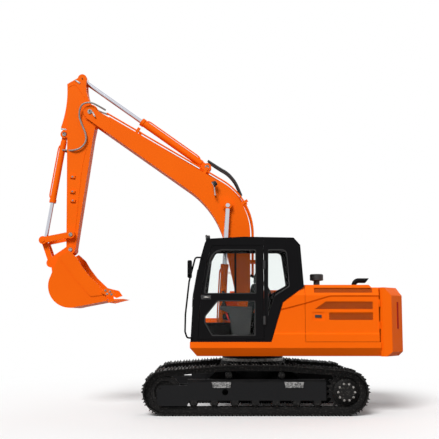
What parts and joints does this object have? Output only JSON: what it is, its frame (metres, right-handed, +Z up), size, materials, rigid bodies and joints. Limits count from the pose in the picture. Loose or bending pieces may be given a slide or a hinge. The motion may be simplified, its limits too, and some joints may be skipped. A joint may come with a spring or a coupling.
{
  "type": "crawler_excavator",
  "caption": "Orange crawler excavator of the 14 tonne class with a black cab, boom raised, arm hanging and bucket half curled.",
  "frame": {"origin": "on the ground, under the swing axis of the upper structure", "axes": "+X forward, towards the boom; +Y to the left, the side of the cab; +Z up"},
  "size_m": [6.2956, 2.611, 5.9412],
  "materials": {
    "orange_paint": "semi-gloss orange enamel, dusty on flat tops",
    "black_paint": "satin black enamel",
    "dark_grey_paint": "satin dark grey enamel, dusty",
    "track_steel": "worn bare steel, dusty",
    "worn_steel": "worn bare steel",
    "cast_weight": "orange enamel over a cast block",
    "engine_casting": "plain cast metal",
    "chrome_rod": "polished hard chrome",
    "cab_glazing": "clear tinted safety glass",
    "seat_cloth": "dark woven cloth",
    "black_plastic": "moulded black plastic, fine grain"
  },
  "bodies": {
    "undercarriage": {"left_track": "track_steel", "right_track": "track_steel", "track_frames": "dark_grey_paint", "idlers": "track_steel", "sprockets": "track_steel", "track_rollers": "track_steel", "carrier_rollers": "track_steel", "car_body": "dark_grey_paint", "swing_ring": "worn_steel"},
    "upper_structure": {"main_frame": "dark_grey_paint", "upper_pins": "worn_steel", "side_decks": "orange_paint", "counterweight": "cast_weight", "house_frame": "orange_paint", "left_side_panel": "orange_paint", "engine_block": "engine_casting", "hydraulic_tank": "orange_paint", "fuel_tank": "orange_paint", "tool_box": "orange_paint", "pre_cleaner": "black_plastic", "exhaust_pipe": "black_paint", "cab_left_side": "black_paint", "cab_right_side": "black_paint", "cab_front_frame": "black_paint", "cab_floor": "black_paint", "cab_rear_wall": "black_paint", "cab_roof": "black_paint", "cab_glass": "cab_glazing", "operator_seat": "seat_cloth", "control_consoles": "black_plastic", "mirror_rail": "black_paint"},
    "cab_door_leaf": {"cab_door": "black_paint", "cab_door_glass": "cab_glazing"},
    "left_service_door_leaf": {"left_service_door": "orange_paint"},
    "right_service_door_leaf": {"right_service_door": "orange_paint"},
    "hood_panel": {"hood": "orange_paint"},
    "tool_box_cover": {"tool_box_lid": "orange_paint"},
    "boom_unit": {"boom": "orange_paint", "boom_pins": "worn_steel", "boom_pipes": "orange_paint"},
    "boom_cylinder_barrels": {"boom_barrels": "orange_paint"},
    "boom_cylinder_rods": {"boom_rods": "chrome_rod"},
    "arm_cylinder_barrel": {"arm_barrel": "orange_paint"},
    "arm_cylinder_rod": {"arm_rod": "chrome_rod"},
    "arm_unit": {"arm": "orange_paint", "arm_pins": "worn_steel"},
    "bucket_cylinder_barrel": {"bucket_barrel": "orange_paint"},
    "bucket_cylinder_rod": {"bucket_rod": "chrome_rod"},
    "rocker_links": {"rocker": "orange_paint"},
    "bucket_connecting_link": {"bucket_link": "orange_paint"},
    "bucket_unit": {"bucket": "orange_paint", "bucket_teeth": "orange_paint"}
  },
  "joints": [
    {"name": "swing", "type": "hinge", "parent": "undercarriage", "child": "upper_structure", "pos_m": [0, 0, 0.82], "axis": [0, 0, 1], "continuous": true},
    {"name": "boom_lift", "type": "hinge", "parent": "upper_structure", "child": "boom_unit", "pos_m": [0.14, 0, 1.563], "axis": [0, -1, 0], "range_deg": [-99, 12]},
    {"name": "arm_fold", "type": "hinge", "parent": "boom_unit", "child": "arm_unit", "pos_m": [2.90835, 0, 5.23672], "axis": [0, 1, 0], "range_deg": [-102, 13]},
    {"name": "bucket_curl", "type": "hinge", "parent": "arm_unit", "child": "bucket_unit", "pos_m": [3.20869, 0, 2.75483], "axis": [0, 1, 0], "range_deg": [-75, 95]},
    {"name": "cab_door_turn", "type": "hinge", "parent": "upper_structure", "child": "cab_door_leaf", "pos_m": [-0.147, 1.23, 1.48], "axis": [0, 0, 1], "range_deg": [0, 165]},
    {"name": "left_service_door_turn", "type": "hinge", "parent": "upper_structure", "child": "left_service_door_leaf", "pos_m": [-2.018, 1.231, 1.38], "axis": [0, 0, 1], "range_deg": [0, 110]},
    {"name": "right_service_door_turn", "type": "hinge", "parent": "upper_structure", "child": "right_service_door_leaf", "pos_m": [-2.018, -1.231, 1.38], "axis": [0, 0, -1], "range_deg": [0, 110]},
    {"name": "hood_lift", "type": "hinge", "parent": "upper_structure", "child": "hood_panel", "pos_m": [-0.883, -0.14, 2.113], "axis": [0, 1, 0], "range_deg": [0, 75]},
    {"name": "tool_box_lid_lift", "type": "hinge", "parent": "upper_structure", "child": "tool_box_cover", "pos_m": [0.56, -0.9025, 1.5303], "axis": [0, -1, 0], "range_deg": [0, 80]},
    {"name": "boom_barrels_turn", "type": "hinge", "parent": "upper_structure", "child": "boom_cylinder_barrels", "pos_m": [0.555, 0, 1.275], "axis": [0, -1, 0], "range_deg": [-102.15, 12.82]},
    {"name": "boom_rods_slide", "type": "slide", "parent": "boom_cylinder_barrels", "child": "boom_cylinder_rods", "axis": [-0.0531, 0, 0.9986], "range_m": [-0.8048, 0.0993]},
    {"name": "arm_barrel_turn", "type": "hinge", "parent": "boom_unit", "child": "arm_cylinder_barrel", "pos_m": [0.80489, 0, 4.2449], "axis": [0, 1, 0], "range_deg": [-5.43, 1.13]},
    {"name": "arm_rod_slide", "type": "slide", "parent": "arm_cylinder_barrel", "child": "arm_cylinder_rod", "axis": [0.8136, 0, 0.5815], "range_m": [-1.0303, 0.1331]},
    {"name": "rocker_turn", "type": "hinge", "parent": "arm_unit", "child": "rocker_links", "pos_m": [3.20228, 0, 3.01595], "axis": [0, 1, 0], "range_deg": [-58, 73.33]},
    {"name": "link_turn", "type": "hinge", "parent": "rocker_links", "child": "bucket_connecting_link", "pos_m": [3.69063, 0, 2.91843], "axis": [0, 1, 0], "range_deg": [-26.64, 21.14]},
    {"name": "bucket_barrel_turn", "type": "hinge", "parent": "arm_unit", "child": "bucket_cylinder_barrel", "pos_m": [3.38051, 0, 4.84763], "axis": [0, 1, 0], "range_deg": [-4.7, 5.82]},
    {"name": "bucket_rod_slide", "type": "slide", "parent": "bucket_cylinder_barrel", "child": "bucket_cylinder_rod", "axis": [0.1587, 0, -0.9873], "range_m": [-0.4086, 0.517]}
  ],
  "couplings": [
    {"joint": "boom_barrels_turn", "follows": "boom_lift", "ratio": 1.0066},
    {"joint": "boom_rods_slide", "follows": "boom_lift", "m_per_rad": 0.4555},
    {"joint": "arm_barrel_turn", "follows": "arm_fold", "ratio": 0.0474},
    {"joint": "arm_rod_slide", "follows": "arm_fold", "m_per_rad": 0.5663},
    {"joint": "rocker_turn", "follows": "bucket_curl", "ratio": 0.7516},
    {"joint": "link_turn", "follows": "bucket_curl", "ratio": -0.2698},
    {"joint": "bucket_barrel_turn", "follows": "bucket_curl", "ratio": 0.0549},
    {"joint": "bucket_rod_slide", "follows": "bucket_curl", "m_per_rad": 0.3045}
  ]
}
